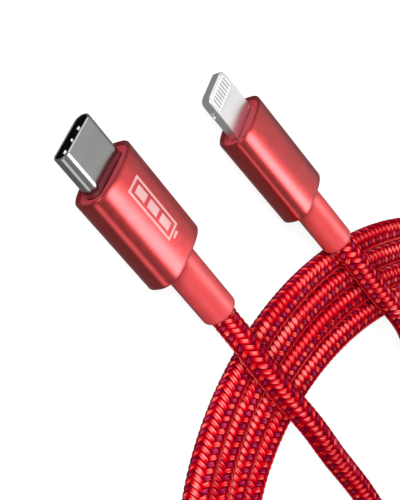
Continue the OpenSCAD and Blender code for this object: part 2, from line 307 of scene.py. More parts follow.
# Each yarn's colours: painted shade, body, and painted highlight on the crests
RED_YARN = yarn_material("red_yarn", (0.36, 0.001, 0.006), (0.73, 0.004, 0.015), (1.0, 0.24, 0.22))
RED_YARN_2 = yarn_material("red_yarn_2", (0.32, 0.001, 0.006), (0.67, 0.004, 0.016), (1.0, 0.20, 0.18))
RED_YARN_3 = yarn_material("red_yarn_3", (0.30, 0.001, 0.005), (0.63, 0.004, 0.013), (1.0, 0.17, 0.14))
MAROON_YARN = yarn_material("maroon_yarn", (0.12, 0.001, 0.009), (0.20, 0.002, 0.024), (0.58, 0.035, 0.10))
CORE = plain_material(
    "core_red", (0.16, 0.0, 0.008), (0.24, 0.0, 0.014), 2500, 0.01, (0.6, 0.8), specular=0.2,
)
ANODISED = plain_material(
    "red_anodised", (0.60, 0.050, 0.054), (0.66, 0.058, 0.062), 9000, 0.002, (0.27, 0.35),
    metallic=1.0, coat=0.5, coat_roughness=0.25,
)
COLLAR = plain_material(
    "collar_red", (0.35, 0.030, 0.045), (0.40, 0.036, 0.053), 5000, 0.004, (0.4, 0.55), specular=0.3,
)
RELIEF = plain_material(
    "relief_red", (0.72, 0.062, 0.068), (0.78, 0.070, 0.076), 6000, 0.004, (0.36, 0.48),
    specular=0.45, subsurface=0.08, subsurface_radius=(0.6, 0.1, 0.1), subsurface_scale=0.0015,
)
STEEL = plain_material(
    "shell_steel", (0.39, 0.39, 0.385), (0.42, 0.42, 0.415), 3000, 0.0006, (0.17, 0.23),
    stretch=(0.12, 1, 1), metallic=1.0,
)
TAB_METAL = plain_material(
    "tab_metal", (0.95, 0.95, 0.945), (0.98, 0.98, 0.975), 4000, 0.0003, (0.32, 0.38), metallic=1.0,
)
SPRING = plain_material(
    "spring_bright", (0.92, 0.92, 0.91), (0.96, 0.96, 0.95), 3000, 0.001, (0.2, 0.3), metallic=0.4,
)
BLACK = plain_material(
    "black_plastic", (0.002, 0.002, 0.002), (0.004, 0.004, 0.004), 4000, 0.001, (0.5, 0.6), specular=0.0,
)
WHITE = plain_material(
    "white_plastic", (0.95, 0.95, 0.94), (0.98, 0.98, 0.97), 5000, 0.002, (0.3, 0.4), coat=1.0,
)
CONTACT = plain_material(
    "contact_metal", (0.40, 0.40, 0.40), (0.48, 0.48, 0.47), 6000, 0.001, (0.3, 0.45), metallic=0.8,
)
GOLD = plain_material(
    "gold_plate", (0.8, 0.56, 0.22), (0.88, 0.64, 0.28), 4000, 0.001, (0.2, 0.35), metallic=1.0,
)
PRINT = plain_material("pale_print", (0.82, 0.42, 0.43), (0.9, 0.5, 0.5), 7000, 0.002, (0.45, 0.6))
TIN = plain_material(
    "tinned_sheet", (0.55, 0.55, 0.54), (0.66, 0.66, 0.64), 2500, 0.003, (0.3, 0.5), metallic=1.0,
)
BOARD = plain_material("board_green", (0.01, 0.10, 0.035), (0.02, 0.16, 0.05), 2500, 0.004, (0.25, 0.4))
CERAMIC = plain_material("ceramic_tan", (0.40, 0.28, 0.17), (0.52, 0.38, 0.24), 5000, 0.003, (0.4, 0.6))
MOULD = plain_material("mould_ivory", (0.68, 0.65, 0.57), (0.76, 0.73, 0.66), 3000, 0.004, (0.4, 0.55))
WIRE_RED = plain_material("wire_red", (0.5, 0.01, 0.01), (0.62, 0.02, 0.02), 4000, 0.002, (0.35, 0.5))
WIRE_BLACK = plain_material("wire_black", (0.01, 0.01, 0.01), (0.03, 0.03, 0.03), 4000, 0.002, (0.35, 0.5))
WIRE_WHITE = plain_material("wire_white", (0.7, 0.7, 0.7), (0.82, 0.82, 0.82), 4000, 0.002, (0.35, 0.5))

# Each CAD node takes its slot's material
SLOT_MATERIALS = {
    "gold_contacts": GOLD,
    "contact_metal": CONTACT,
    "spring_steel": SPRING,
    "circuit_board": BOARD,
    "chip_black": BLACK,
    "capacitor_ceramic": CERAMIC,
    "shield_tin": TIN,
    "inner_mould": MOULD,
    "crimp_metal": TIN,
    "wire_red": WIRE_RED,
    "wire_black": WIRE_BLACK,
    "wire_white": WIRE_WHITE,
    "plug_shell_steel": STEEL,
    "black_insulator": BLACK,
    "tab_frame_metal": TAB_METAL,
    "white_carrier": WHITE,
    "front_collar": COLLAR,
    "red_anodised": ANODISED,
    "pale_print": PRINT,
    "relief_red": RELIEF,
    "red_braid": CORE,
}


def dress_cad_nodes():
    for part in frame["record"]["subparts"]:
        mesh = frame["nodes"][part["node"]].data
        mesh.materials.clear()
        mesh.materials.append(SLOT_MATERIALS[part["material_slot"]])


dress_cad_nodes()

# ---------------------------------------------------------------- cord

CORD_D = 0.0039
COIL_CENTRE = (0.0711, 0.0041)
COIL_TURN = math.radians(51)
COIL_A = 0.069
COIL_B = 0.040
TURN_PITCH = 0.004
TURNS = 4
COIL_START = -75
COIL_END = -105
SHIFT_HALF = 60
COIL_STEP = 5

# Centre line from the reversible plug to the start of the coil
USB_ROUTE = [
    (-0.008, -0.014, 0.0035), (0, -0.014, 0.0039), (0.0075, -0.014, 0.0042),
    (0.0105, -0.0144, 0.0046), (0.0135, -0.0151, 0.0054), (0.0165, -0.0157, 0.0059),
    (0.020, -0.0158, 0.006), (0.025, -0.0157, 0.00595), (0.030, -0.0154, 0.00595),
    (0.036, -0.0149, 0.0055), (0.043, -0.0141, 0.0044), (0.050, -0.0132, 0.0035),
    (0.057, -0.0125, 0.0027), (0.064, -0.0124, 0.0021), (0.071, -0.0126, 0.00195),
    (0.078, -0.0121, 0.00195), (0.084, -0.0103, 0.00195), (0.0895, -0.0074, 0.00195),
    (0.094, -0.0041, 0.00195), (0.097, -0.0009, 0.00195),
]
# Centre line from the tab plug, over the turns and down to the end of the coil
TAB_ROUTE = [
    (0.0113, 0.0147, 0.00395), (0.0187, 0.0149, 0.0045), (0.0262, 0.0152, 0.00525),
    (0.0297, 0.0152, 0.0059), (0.034, 0.0155, 0.006), (0.039, 0.016, 0.00595),
    (0.044, 0.0167, 0.00595), (0.049, 0.0175, 0.00585), (0.0555, 0.0187, 0.0046),
    (0.062, 0.0196, 0.0031), (0.0685, 0.020, 0.0021), (0.075, 0.0199, 0.002),
    (0.081, 0.0191, 0.0026), (0.087, 0.0177, 0.0039), (0.093, 0.0151, 0.0054),
    (0.0975, 0.0117, 0.00595), (0.1013, 0.0072, 0.00595), (0.1042, 0.0018, 0.00595),
    (0.1057, -0.004, 0.00595), (0.1061, -0.0098, 0.00595), (0.1052, -0.0143, 0.0058),
    (0.1031, -0.0189, 0.0049), (0.1001, -0.0236, 0.0036), (0.0956, -0.0289, 0.0022),
    (0.0906, -0.0336, 0.00195),
]


def oval_point(degrees, turn):
    """Point of the coil's centre line; turn 3 is the outermost."""
    inset = (TURNS - 1 - turn) * TURN_PITCH
    t = math.radians(degrees)
    x = (COIL_A - inset) * math.cos(t)
    y = (COIL_B - inset) * math.sin(t)
    return (
        COIL_CENTRE[0] + x * math.cos(COIL_TURN) - y * math.sin(COIL_TURN),
        COIL_CENTRE[1] + x * math.sin(COIL_TURN) + y * math.cos(COIL_TURN),
        CORD_D / 2,
    )


def coil_points():
    """All turns, spiralling outward: each one steps out by a pitch along one side."""
    points = []
    last = COIL_END + 360 * TURNS
    for degrees in range(COIL_START + COIL_STEP, last, COIL_STEP):
        around = (degrees + 180) % 360 - 180
        whole = round((degrees - around) / 360)
        u = min(max((around + SHIFT_HALF) / (2 * SHIFT_HALF), 0), 1)
        points.append(oval_point(degrees, whole - 1 + u * u * (3 - 2 * u)))
    return points


def eased(value, start, width):
    """0 before start, 1 past start + width, and an even S-curve between them."""
    t = np.clip((value - start) / width, 0, 1)
    return t * t * (3 - 2 * t)


def unit(rows):
    return rows / np.linalg.norm(rows, axis=1)[:, None]


def smooth_curve(points, step):
    """Natural cubic spline through the points, sampled at even arc length."""
    p = np.array(points, float)
    s = np.concatenate([[0], np.cumsum(np.linalg.norm(np.diff(p, axis=0), axis=1))])
    h = np.diff(s)
    n = len(p)
    a = np.zeros((n, n))
    b = np.zeros((n, 3))
    a[0, 0] = a[-1, -1] = 1
    for i in range(1, n - 1):
        a[i, i - 1] = h[i - 1]
        a[i, i] = 2 * (h[i - 1] + h[i])
        a[i, i + 1] = h[i]
        b[i] = 6 * ((p[i + 1] - p[i]) / h[i] - (p[i] - p[i - 1]) / h[i - 1])
    m = np.linalg.solve(a, b)
    fine = np.linspace(0, s[-1], int(s[-1] / (step / 4)))
    i = np.clip(np.searchsorted(s, fine, side="right") - 1, 0, n - 2)
    left = (s[i + 1] - fine)[:, None]
    right = (fine - s[i])[:, None]
    hi = h[i][:, None]
    out = (
        m[i] * left**3 / (6 * hi) + m[i + 1] * right**3 / (6 * hi)
        + (p[i] / hi - m[i] * hi / 6) * left + (p[i + 1] / hi - m[i + 1] * hi / 6) * right
    )
    length = np.concatenate([[0], np.cumsum(np.linalg.norm(np.diff(out, axis=0), axis=1))])
    even = np.linspace(0, length[-1], int(round(length[-1] / step)) + 1)
    return np.stack([np.interp(even, length, out[:, c]) for c in range(3)], 1), even


LINE_STEP = 0.25 * MM


class CordLine:
    """The cord's centre line, with a frame at each point: along, side (level) and up."""

    def __init__(self):
        points = USB_ROUTE + coil_points() + TAB_ROUTE[::-1]
        self.points, self.s = smooth_curve(points, LINE_STEP)
        self.length = self.s[-1]
        self.from_end = np.minimum(self.s, self.length - self.s)
        self.along = unit(np.gradient(self.points, axis=0))
        self.side = unit(np.cross([0, 0, 1], self.along))
        self.up = np.cross(self.along, self.side)
        self.heading = np.arctan2(self.along[:, 1], self.along[:, 0])

    def at(self, s, table):
        return np.stack([np.interp(s, self.s, table[:, c]) for c in range(3)], 1)

    def place(self, s, angle, radius):
        """Points at distances s along, turned by angle from up towards side."""
        out = np.cos(angle)[:, None] * self.at(s, self.up) + np.sin(angle)[:, None] * self.at(s, self.side)
        return self.at(s, self.points) + out * np.asarray(radius)[..., None], out


JACKET_R = 1.60 * MM
JACKET_SIDES = 16
JACKET_STEP = MM
# The yarns: thickness, and the radius of their middles where they go over and under
YARN_T = 0.36 * MM
OVER_R = 1.79 * MM
UNDER_R = OVER_R - 0.24 * MM
# Eight yarns each way make eight columns, in degrees, and each goes over two and under two
CARRIERS = 8
COLUMN = 360 / CARRIERS
PERIOD = 2 * COLUMN
WAVES = 360 / PERIOD
LIFT_POWER = 0.9
# Neighbouring turns press their yarns together sideways, from this far along (start, width)
PRESS = 0.13 * MM
PRESS_FROM = (0.015, 0.07)
# Distance between picks by each plug, in the two runs and in the coil
USB_PICK = 1.04 * MM
TAB_PICK = 1.38 * MM
RUN_PICK = 1.60 * MM
COIL_PICK = 1.22 * MM
RUN_FROM = (0.02, 0.035)
COIL_FROM = (0.075, 0.06)
# How much the braid gives and gathers as the cord goes round a turn, and the heading where it gives most
PICK_GIVE = 0.28
GIVE_HEADING = math.radians(30)
# Degrees that the columns are turned by: in the coil, where the cord rolls as it goes round, and in the runs
COIL_ROLL = 46.0
ROLL_SWING = 50.0
ROLL_HEADING = math.radians(45)
USB_ROLL = 28.0
TAB_ROLL = 108.0
USB_ROLL_TO = (0.05, 0.15)
TAB_ROLL_TO = (0.06, 0.15)
# Ring places in one over-and-under period: close together where the yarn shows
PERIOD_PLACES = (0.0, 0.085, 0.17, 0.25, 0.33, 0.415, 0.5, 0.75)
LEAST_STEP = 1e-7
# The yarn's section: three ends side by side, (across, height) in half widths and half thicknesses
YARN_SECTION = (
    (-1.0, -0.4), (-0.86, 0.45), (-0.60, 0.78), (-0.34, 0.42), (0.0, 1.0), (0.34, 0.42),
    (0.60, 0.78), (0.86, 0.45), (1.0, -0.4), (0.5, -0.9), (-0.5, -0.9),
)
# Share of its full width that a yarn keeps where it is under
UNDER_WIDTH = 0.86
WIDTH_WANDER = 0.06
THICKNESS_WANDER = 0.10
WANDER_SPAN = 9
LEFT_SEED = 150
RIGHT_SEED = 100


def pick_pitch(line):
    """Distance between picks at each point: tight by the plugs, looser in the runs and the coil."""
    coil = COIL_PICK * (1 + PICK_GIVE * np.cos(2 * (line.heading - GIVE_HEADING)))
    end = np.where(line.s < line.length / 2, USB_PICK, TAB_PICK)
    run = end + (RUN_PICK - end) * eased(line.from_end, *RUN_FROM)
    return run + (coil - run) * eased(line.from_end, *COIL_FROM)


def column_roll(line):
    """Degrees that the columns are turned by at each point."""
    coil = COIL_ROLL + ROLL_SWING * np.sin(line.heading - ROLL_HEADING)
    roll = USB_ROLL + (coil - USB_ROLL) * eased(line.s, *USB_ROLL_TO)
    return TAB_ROLL + (roll - TAB_ROLL) * eased(line.length - line.s, *TAB_ROLL_TO)


class Braid:
    """What the yarns share at each point of the line: pick, roll, press and degrees turned so far."""

    def __init__(self, line):
        self.line = line
        self.pick = pick_pitch(line)
        self.roll = column_roll(line)
        self.press = eased(line.from_end, *PRESS_FROM)
        rate = COLUMN / self.pick
        self.turned = np.concatenate([[0], np.cumsum((rate[1:] + rate[:-1]) / 2 * np.diff(line.s))])

    def at(self, s, table):
        return np.interp(s, self.line.s, table)


def yarn_stops(braid, number, left):
    """Where one yarn's rings come along the cord, and its phase in degrees at each."""
    s = braid.line.s
    slide = braid.turned - braid.roll
    phase = COLUMN * number + slide if left else COLUMN * number + COLUMN / 2 - slide
    low, high = sorted((phase[0], phase[-1]))
    periods = np.arange(math.floor(low / PERIOD), math.ceil(high / PERIOD) + 1)
    wanted = np.sort((PERIOD * (periods[:, None] + np.array(PERIOD_PLACES)[None, :])).ravel())
    wanted = wanted[(wanted > low) & (wanted < high)]
    wanted = np.concatenate([[low], wanted, [high]])
    if not left:
        wanted = wanted[::-1]
    stops = np.interp(wanted, phase, s) if left else np.interp(-wanted, -phase, s)
    keep = np.concatenate([[True], np.diff(stops) > LEAST_STEP])
    return stops[keep], wanted[keep]


def wander(random, count):
    """Smooth random numbers about 0."""
    return np.convolve(random.normal(0, 1, count), np.ones(WANDER_SPAN) / WANDER_SPAN, "same")


def yarn_rings(braid, number, left):
    """Rings of one yarn from end to end, and the times it has gone over at each ring. left is True
    for the left-handed set."""
    stops, phase = yarn_stops(braid, number, left)
    angle = np.radians(phase + braid.at(stops, braid.roll))
    wave = np.sin(np.radians(phase * WAVES))
    wave = wave if left else -wave
    lift = np.sign(wave) * np.abs(wave) ** LIFT_POWER
    radius = (OVER_R + UNDER_R) / 2 + (OVER_R - UNDER_R) / 2 * lift
    radius = radius + PRESS * braid.at(stops, braid.press) * np.sin(angle) ** 2
    centre, outward = braid.line.place(stops, angle, radius)
    tangent = unit(np.gradient(centre, axis=0))
    across = unit(np.cross(tangent, outward))
    normal = np.cross(across, tangent)
    pitch = braid.at(stops, braid.pick)
    slope = np.arctan2(2 * math.pi * OVER_R, pitch * 360 / COLUMN)
    half_w = pitch * np.sin(slope) / 2 * (UNDER_WIDTH + (1 - UNDER_WIDTH) * np.clip(wave, 0, 1))
    random = np.random.default_rng((LEFT_SEED if left else RIGHT_SEED) + number)
    half_w = half_w * (1 + WIDTH_WANDER * wander(random, len(stops)))
    half_t = YARN_T / 2 * (1 + THICKNESS_WANDER * wander(random, len(stops)))
    section = np.array(YARN_SECTION)
    rings = (
        centre[:, None, :]
        + across[:, None, :] * (half_w[:, None] * section[None, :, 0])[..., None]
        + normal[:, None, :] * (half_t[:, None] * section[None, :, 1])[..., None]
    )
    crests = phase / PERIOD if left else phase / PERIOD + 0.5
    return rings, crests


def make_yarns(line):
    """The sixteen yarns: two reds one way, and red and maroon by turns the other way."""
    braid = Braid(line)
    across = np.array([x for x, _ in YARN_SECTION] + [YARN_SECTION[0][0]])
    sets = (("left", (RED_YARN_2, RED_YARN)), ("right", (RED_YARN_3, MAROON_YARN)))
    yarns = []
    for side, materials in sets:
        for number in range(CARRIERS):
            rings, crests = yarn_rings(braid, number, side == "left")
            name = f"braid_{side}_yarn_{number + 1}"
            mesh = grid_mesh(name, rings, caps=True, uv=(across, crests))
            yarns.append(finish_piece(new_object(name, mesh), materials[number % 2]))
    return yarns


def make_cord():
    """The jacket tube with the braid's yarns on it."""
    line = CordLine()
    yarns = make_yarns(line)
    at = np.linspace(0, line.length, int(line.length / JACKET_STEP))
    ones = np.ones(len(at))
    rings = np.stack([line.place(at, ones * a, ones * JACKET_R)[0] for a in full_circle(JACKET_SIDES)], 1)
    jacket = new_object("cord_jacket", grid_mesh("cord_jacket", rings, caps=True))
    finish_piece(jacket, CORE, ("cord_run_usb_c", "cord_coil", "cord_run_tab"))


make_cord()

# ---------------------------------------------------------------- plug frames


def plug_frame(mount_name, reach):
    """4x4 of a plug: X from its sleeve's front rim towards the cord, Y across, Z up."""
    mount = next(m for m in frame["record"]["mounts"] if m["name"] == mount_name)
    x = -Vector(mount["axis"]).normalized()
    y = Vector((0, 0, 1)).cross(x).normalized()
    z = x.cross(y)
    start = Vector(mount["pos_m"]) + x * reach
    return Matrix.Translation(start) @ Matrix((x, y, z)).transposed().to_4x4()


SHELL_OUT = 6.4
TAB_OUT = 7.4
USB = np.array(plug_frame("reversible_plug", SHELL_OUT * MM))
TAB = np.array(plug_frame("tab_plug", TAB_OUT * MM))


def into(plug, points):
    """Points in a plug's own millimetres, placed in the frame."""
    p = np.asarray(points, float)
    return (p * MM) @ plug[:3, :3].T + plug[:3, 3]


SQUARE_POWER = 2.8
OUTLINE_POINTS = 144
FINE_POINTS = 4000


def soft_oval(w, t):
    """Superellipse outline in Y and Z, with points spread evenly along it."""
    a = full_circle(FINE_POINTS)
    y = w / 2 * np.sign(np.cos(a)) * np.abs(np.cos(a)) ** (2 / SQUARE_POWER)
    z = t / 2 * np.sign(np.sin(a)) * np.abs(np.sin(a)) ** (2 / SQUARE_POWER)
    return spread_points(y, z)


def obround(w, t):
    """Flat bar with half-round ends."""
    a = full_circle(FINE_POINTS)
    r = t / 2
    y = r * np.cos(a) + np.sign(np.cos(a)) * (w / 2 - r)
    return spread_points(y, r * np.sin(a))


def round_box(w, t, r):
    """Rectangle with round corners."""
    a = full_circle(FINE_POINTS)
    y = r * np.cos(a) + np.sign(np.cos(a)) * (w / 2 - r)
    z = r * np.sin(a) + np.sign(np.sin(a)) * (t / 2 - r)
    return spread_points(y, z)


def circle(r):
    a = full_circle(OUTLINE_POINTS)
    return np.stack([r * np.cos(a), r * np.sin(a)], 1)


def spread_points(y, z):
    """A closed outline's points at even spacing, from its first one."""
    outline = np.stack([y, z], 1)
    closed = np.vstack([outline, outline[:1]])
    s = np.concatenate([[0], np.cumsum(np.linalg.norm(np.diff(closed, axis=0), axis=1))])
    at = np.linspace(0, s[-1], OUTLINE_POINTS, endpoint=False)
    return np.stack([np.interp(at, s, closed[:, c]) for c in range(2)], 1)


def loft(plug, name, rings, material, node, wrap=True):
    """A solid through outlines along the plug, in place of a CAD node. rings are (x, outline) pairs."""
    shape = [np.column_stack([np.full(len(o), x), o]) for x, o in rings]
    placed = into(plug, np.array(shape).reshape(-1, 3)).reshape(len(rings), -1, 3)
    piece = new_object(name, grid_mesh(name, placed, wrap_rings=wrap, caps=not wrap))
    fix_normals(piece)
    sharpen(piece)
    finish_piece(piece, material, (node,))


def fix_normals(piece):
    """Turns the faces outward if the closed solid is inside out."""
    mesh = piece.data
    mesh.calc_loop_triangles()
    co = np.empty(len(mesh.vertices) * 3)
    mesh.vertices.foreach_get("co", co)
    co = co.reshape(-1, 3)
    co = co - co.mean(0)
    tri = np.empty(len(mesh.loop_triangles) * 3, int)
    mesh.loop_triangles.foreach_get("vertices", tri)
    a, b, c = (co[tri.reshape(-1, 3)[:, k]] for k in range(3))
    if np.einsum("ij,ij->i", a, np.cross(b, c)).sum() < 0:
        mesh.flip_normals()


# ---------------------------------------------------------------- sleeves, inserts and reliefs

# Both plugs, in millimetres: w across, t thick
USB_W, USB_T, USB_LEN = 11.4, 6.0, 16.0
TAB_SLEEVE_W, TAB_SLEEVE_T, TAB_SLEEVE_LEN = 10.4, 5.8, 17.5
SHELL_W, SHELL_T = 8.25, 2.4
TAB_W, TAB_T = 6.7, 1.5
WALL = 0.6
# The sleeve's rims: a bevel of two facets, then at the front a flat and a slope down to the insert
RIM_BEVEL = 0.14
BEVEL_MIDDLE = 0.3
RIM_FLAT_TO = 0.2
RIM_SLOPE_TO = 0.3
BACK_WALL = 1.0
SKIN_RINGS = 24
# The front insert's face: depth behind the rim, and share of the way from the wall to the hole
INSERT_FACE = ((0.33, 0.0), (0.30, 0.04), (0.33, 0.5), (0.40, 0.9), (0.47, 0.97), (0.6, 1.0))
INSERT_BACK = 1.2
INSERT_GAP = 0.06
TAB_HOLE_R = 0.2
# Strain reliefs: radius, bore, and where each starts and ends
RELIEF_R = 2.65
RELIEF_BORE = 2.02
RELIEF_GAP = 0.02
RELIEF_EDGE = 0.4
RELIEF_TAIL = 0.5
RELIEF_LIP = 0.1
RELIEF_RINGS = 16
USB_RELIEF = (14.1, 27.5)
TAB_RELIEF = (15.6, 28.5)


def make_sleeve(plug, name, w, t, length, node):
    """Metal sleeve: fine bevels at both rims, a wall behind and a hole for the strain relief."""

    def shell(x, inset):
        return x, soft_oval(w - 2 * inset, t - 2 * inset)

    middle = RIM_BEVEL * BEVEL_MIDDLE
    hole = circle(RELIEF_R + RELIEF_GAP)
    rings = [shell(RIM_BEVEL, 0), shell(middle, middle), shell(0, RIM_BEVEL)]
    rings += [shell(0, RIM_FLAT_TO), shell(RIM_SLOPE_TO, WALL), shell(length - BACK_WALL, WALL)]
    rings += [(length - BACK_WALL, hole), (length, hole)]
    rings += [shell(length, RIM_BEVEL), shell(length - middle, middle), shell(length - RIM_BEVEL, 0)]
    plain = length - 2 * RIM_BEVEL
    rings += [shell(length - RIM_BEVEL - plain * i / SKIN_RINGS, 0) for i in range(1, SKIN_RINGS)]
    loft(plug, name, rings, ANODISED, node)


def make_insert(plug, name, w, t, hole, node):
    """Moulded insert inside the front rim, dished slightly towards the shell."""
    outer = soft_oval(w - 2 * WALL, t - 2 * WALL)
    rings = [(INSERT_BACK, outer)]
    rings += [(depth, outer * (1 - k) + hole * k) for depth, k in INSERT_FACE]
    rings += [(INSERT_BACK, hole)]
    loft(plug, name, rings, COLLAR, node)


def make_relief(plug, name, start, end, node):
    """Strain relief: a plain round tube with a soft edge where the cord comes out."""
    plain = end - RELIEF_TAIL - start
    rings = [(start + plain * i / RELIEF_RINGS, circle(RELIEF_R)) for i in range(RELIEF_RINGS + 1)]
    for degrees in (15, 30, 45, 60, 75, 90):
        a = math.radians(degrees)
        inset = RELIEF_EDGE * (1 - math.cos(a))
        rings.append((end - RELIEF_EDGE + RELIEF_EDGE * math.sin(a), circle(RELIEF_R - inset)))
    bore = circle(RELIEF_BORE)
    rings += [(end - RELIEF_GAP, circle(RELIEF_BORE + RELIEF_LIP)), (end - RELIEF_GAP - RELIEF_LIP, bore)]
    rings += [(start, bore)]
    loft(plug, name, rings, RELIEF, node)


make_sleeve(USB, "usb_c_sleeve_skin", USB_W, USB_T, USB_LEN, "usb_c_sleeve")
make_sleeve(TAB, "tab_sleeve_skin", TAB_SLEEVE_W, TAB_SLEEVE_T, TAB_SLEEVE_LEN, "tab_sleeve")
usb_hole = obround(SHELL_W + INSERT_GAP, SHELL_T + INSERT_GAP)
tab_hole = round_box(TAB_W + INSERT_GAP, TAB_T + INSERT_GAP, TAB_HOLE_R)
make_insert(USB, "usb_c_front_insert", USB_W, USB_T, usb_hole, "usb_c_front_collar")
make_insert(TAB, "tab_front_insert", TAB_SLEEVE_W, TAB_SLEEVE_T, tab_hole, "tab_front_collar")
make_relief(USB, "usb_c_relief_tube", *USB_RELIEF, "usb_c_strain_relief")
make_relief(TAB, "tab_relief_tube", *TAB_RELIEF, "tab_strain_relief")

# ---------------------------------------------------------------- meshes from faces

# Edges over this many degrees are bevelled, and those over this many stay crisp
SOFT_OVER = 30
SHARP_OVER = 50


def mesh_piece(plug, name, verts, faces):
    """A piece from points in a plug's millimetres, with every shell's faces pointing outward."""
    mesh = bpy.data.meshes.new(name)
    mesh.from_pydata(into(plug, verts).tolist(), [], faces)
    mesh.update()
    piece = new_object(name, mesh)
    shells = bmesh.new()
    shells.from_mesh(mesh)
    bmesh.ops.recalc_face_normals(shells, faces=shells.faces)
    shells.to_mesh(mesh)
    shells.free()
    return piece


def ring_walls(base, count, levels):
    """Quads between loops of count points, the first loop starting at base."""
    faces = []
    for level in range(levels - 1):
        for k in range(count):
            a = base + level * count + k
            b = base + level * count + (k + 1) % count
            faces.append((a, b, b + count, a + count))
    return faces


def soften(piece, width_mm, segments):
    """Bevels the piece's sharp edges."""
    bevel = piece.modifiers.new("soft_edges", "BEVEL")
    bevel.width = width_mm * MM
    bevel.segments = segments
    bevel.limit_method = "ANGLE"
    bevel.harden_normals = True
    bevel.angle_limit = math.radians(SOFT_OVER)
    piece.data.shade_smooth()
    sharpen(piece, SHARP_OVER)


def outline_plate(plug, name, outlines, low, high, surface=None):
    """Flat plates from closed outlines in X and Y. surface(y) adds to the height."""
    verts = []
    faces = []
    for outline in outlines:
        base = len(verts)
        count = len(outline)
        lift = [surface(y) if surface else 0 for _, y in outline]
        for level in (low, high):
            verts += [(x, y, level + d) for (x, y), d in zip(outline, lift)]
        faces.append(tuple(base + k for k in range(count))[::-1])
        faces.append(tuple(base + count + k for k in range(count)))
        faces += ring_walls(base, count, 2)
    return mesh_piece(plug, name, verts, faces)


def rounded_rectangle(x0, x1, y0, y1, r, steps=5):
    """Outline of a rectangle with round corners, anticlockwise."""
    corners = ((x1 - r, y1 - r, 0), (x0 + r, y1 - r, 90), (x0 + r, y0 + r, 180), (x1 - r, y0 + r, 270))
    points = []
    for cx, cy, first in corners:
        for i in range(steps + 1):
            a = math.radians(first + 90 * i / steps)
            points.append((cx + r * math.cos(a), cy + r * math.sin(a)))
    return points


# ---------------------------------------------------------------- reversible plug's nose

SHELL_WALL = 0.3
SHELL_REAR = 3.5
SHELL_RINGS = 20
# The rolled rim: how far it runs back and in outside, and its rounding inside
ROLL_BACK = 0.12
ROLL_IN = 0.11
ROLL_INSIDE = 0.05
INSULATOR_FRONT = -6.05
INSULATOR_REAR = 3.3
INSULATOR_INSET = 0.33
SLOT = (6.8, 0.8, 0.12)
SLOT_FLOOR = -0.9
# Bevels of the moulding's face and of the slot's mouth: depth, and size as a share of the outline
FACE_BEVEL, FACE_SHARE = 0.1, 0.985
MOUTH_BEVEL, MOUTH_SHARE = 0.08, 1.02
# Spring fingers: place across and half width of each, and their side profile in X and Z
FINGERS = ((-2.1, 0.28), (0, 0.19), (2.1, 0.28))
FINGER_PROFILE = ((-5.2, 0.42), (-5.5, 0.36), (-5.75, 0.27), (-5.93, 0.33), (-5.99, 0.42))
FINGER_T = 0.12
# Battery sign: ends, half width and stroke of its outline, then its cap and its three bars
SIGN_X = (2.6, 11.8)
SIGN_HALF = 1.5
SIGN_LINE = 0.35
SIGN_OVERLAP = 0.05
SIGN_CORNER = 0.1
STROKE_CORNER = 0.04
CAP_X = (0.25, 0.65)
CAP_HALF = 0.6
BARS = 3
BAR_X = (0.95, 2.95)
BAR_PITCH = 2.65
BAR_HALF = 0.7
PRINT_SUNK = 0.05
PRINT_PROUD = 0.028


def make_shell():
    """Drawn steel shell with a rolled rim."""

    def skin(x, inset):
        return x, obround(SHELL_W - 2 * inset, SHELL_T - 2 * inset)

    front = -SHELL_OUT
    plain = SHELL_REAR - front - ROLL_BACK
    rings = [skin(front + ROLL_BACK, 0), skin(front, ROLL_IN)]
    rings += [skin(front, SHELL_WALL - ROLL_INSIDE), skin(front + ROLL_INSIDE, SHELL_WALL)]
    rings += [skin(SHELL_REAR, SHELL_WALL), skin(SHELL_REAR, 0)]
    rings += [skin(SHELL_REAR - plain * i / SHELL_RINGS, 0) for i in range(1, SHELL_RINGS)]
    loft(USB, "usb_c_shell_skin", rings, STEEL, "usb_c_shell")


def make_insulator():
    """Black moulding inside the shell, with the slot for the socket's tongue."""
    outer = obround(SHELL_W - 2 * INSULATOR_INSET, SHELL_T - 2 * INSULATOR_INSET)
    slot = round_box(*SLOT)
    front = INSULATOR_FRONT
    rings = [(INSULATOR_REAR, outer), (front + FACE_BEVEL, outer), (front, outer * FACE_SHARE)]
    rings += [(front, slot * MOUTH_SHARE), (front + MOUTH_BEVEL, slot), (SLOT_FLOOR, slot)]
    loft(USB, "usb_c_insulator_body", rings, BLACK, "usb_c_insulator", wrap=False)


def make_springs():
    """Three bright spring fingers above and below the slot's mouth."""
    verts = []
    faces = []
    for side in (-1, 1):
        for y, half in FINGERS:
            base = len(verts)
            section = ((-half, 0), (half, 0), (half, FINGER_T), (-half, FINGER_T))
            verts += [(x, y + dy, side * (z + dz)) for x, z in FINGER_PROFILE for dy, dz in section]
            faces += ring_walls(base, len(section), len(FINGER_PROFILE))
            faces.append(tuple(range(base, base + 4)))
            faces.append(tuple(range(len(verts) - 1, len(verts) - 5, -1)))
    piece = mesh_piece(USB, "usb_c_spring_fingers", verts, faces)
    soften(piece, width_mm=0.04, segments=2)
    finish_piece(piece, SPRING, ("usb_c_ground_springs",))


def oval_top(y):
    """Height of the sleeve's wide face above or below its crown."""
    k = min(abs(y) / (USB_W / 2), 1)
    return USB_T / 2 * ((1 - k**SQUARE_POWER) ** (1 / SQUARE_POWER) - 1)


